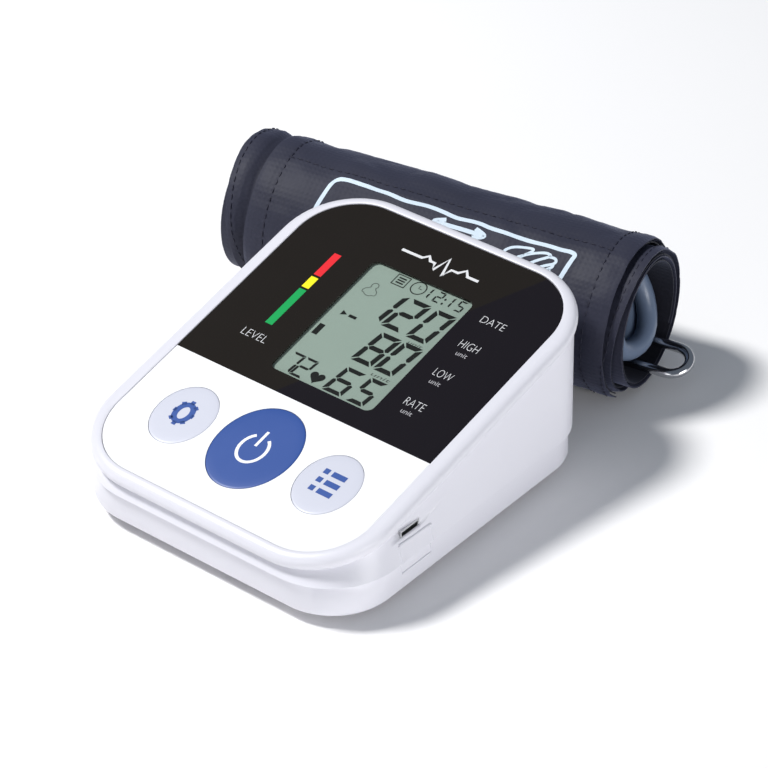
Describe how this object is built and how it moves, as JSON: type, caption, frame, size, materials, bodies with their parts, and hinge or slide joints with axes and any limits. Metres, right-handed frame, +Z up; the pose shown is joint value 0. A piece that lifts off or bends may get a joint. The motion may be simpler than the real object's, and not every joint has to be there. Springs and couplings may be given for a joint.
{
  "type": "upper arm blood pressure monitor",
  "caption": "Desk blood pressure monitor with a tilted display deck and press keys, beside its rolled arm cuff with a wire ring and a wound air hose.",
  "frame": {"origin": "middle of the footprint's box, on the surface that the monitor and the cuff stand on, measured without the hose and its plug", "axes": "+X to the monitor's right, +Y from the keys to the cuff behind, +Z up"},
  "size_m": [0.1796, 0.1958, 0.0575],
  "materials": {
    "shell_plastic": "fine satin",
    "panel_print": "glossy print under clear film",
    "clear_window": "clear gloss",
    "lcd": "smooth",
    "white_frame": "matt",
    "circuit_board": "solder mask",
    "key_pale": "satin",
    "key_blue": "satin",
    "black_plastic": "satin",
    "steel": "plated",
    "foot_rubber": "matt",
    "soft_tube": "translucent",
    "cell_label": "gloss label",
    "nylon": "woven nylon",
    "bladder_vinyl": "smooth",
    "hook_tape": "hook tape",
    "hose": "smooth matt",
    "chrome": "polished"
  },
  "bodies": {
    "monitor": {"front_panel": "panel_print", "display_window": "clear_window", "lcd_glass": "lcd", "lcd_frame": "white_frame", "backlight_plate": "white_frame", "set_switch": "black_plastic", "power_switch": "black_plastic", "memory_switch": "black_plastic", "main_board": "circuit_board", "buzzer": "black_plastic", "controller_chip": "black_plastic", "top_housing": "shell_plastic", "bottom_housing": "shell_plastic", "charging_socket": "steel", "air_socket": "black_plastic", "pump_motor": "steel", "pump_head": "black_plastic", "pump_tube": "soft_tube", "air_manifold": "white_frame", "pressure_sensor": "black_plastic", "valve_tube": "soft_tube", "exhaust_valve": "steel", "socket_tube": "soft_tube", "battery_1": "cell_label", "battery_2": "cell_label", "battery_3": "cell_label", "battery_4": "cell_label", "front_contact_left": "steel", "front_contact_right": "steel", "rear_contact_left": "steel", "rear_contact_middle": "steel", "rear_contact_right": "steel", "foot_1": "foot_rubber", "foot_2": "foot_rubber", "foot_3": "foot_rubber", "foot_4": "foot_rubber", "housing_screw_1": "steel", "housing_screw_2": "steel", "housing_screw_3": "steel", "housing_screw_4": "steel"},
    "set_key": {"set_button": "key_pale"},
    "power_key": {"power_button": "key_blue"},
    "memory_key": {"memory_button": "key_pale"},
    "door": {"battery_door": "shell_plastic"},
    "cuff": {"cuff_outer_cloth": "nylon", "cuff_bladder": "bladder_vinyl", "cuff_inner_cloth": "nylon", "hook_patch": "hook_tape", "ring_sleeve": "nylon", "hose_port": "black_plastic", "air_hose_coil": "hose", "air_hose_lead": "hose", "air_hose_tail": "hose", "air_plug": "black_plastic"},
    "ring": {"cuff_ring": "chrome"}
  },
  "joints": [
    {"name": "set_press", "type": "slide", "parent": "monitor", "child": "set_key", "axis": [0, 0.2419, -0.9703], "range_m": [0, 0.0007], "stiffness_N_per_m": 1500},
    {"name": "power_press", "type": "slide", "parent": "monitor", "child": "power_key", "axis": [0, 0.2419, -0.9703], "range_m": [0, 0.0007], "stiffness_N_per_m": 1500},
    {"name": "memory_press", "type": "slide", "parent": "monitor", "child": "memory_key", "axis": [0, 0.2419, -0.9703], "range_m": [0, 0.0007], "stiffness_N_per_m": 1500},
    {"name": "door_hinge", "type": "hinge", "parent": "monitor", "child": "door", "pos_m": [0.0134, -0.04533, 0.0038], "axis": [-1, 0, 0], "range_deg": [0, 80]},
    {"name": "cuff_lift", "type": "slide", "parent": "monitor", "child": "cuff", "axis": [-0.0825, 0.4931, 0.866], "range_m": [0, 0.12]},
    {"name": "ring_slide", "type": "slide", "parent": "cuff", "child": "ring", "axis": [0.9863, 0.165, 0], "range_m": [-0.01, 0.012]}
  ]
}
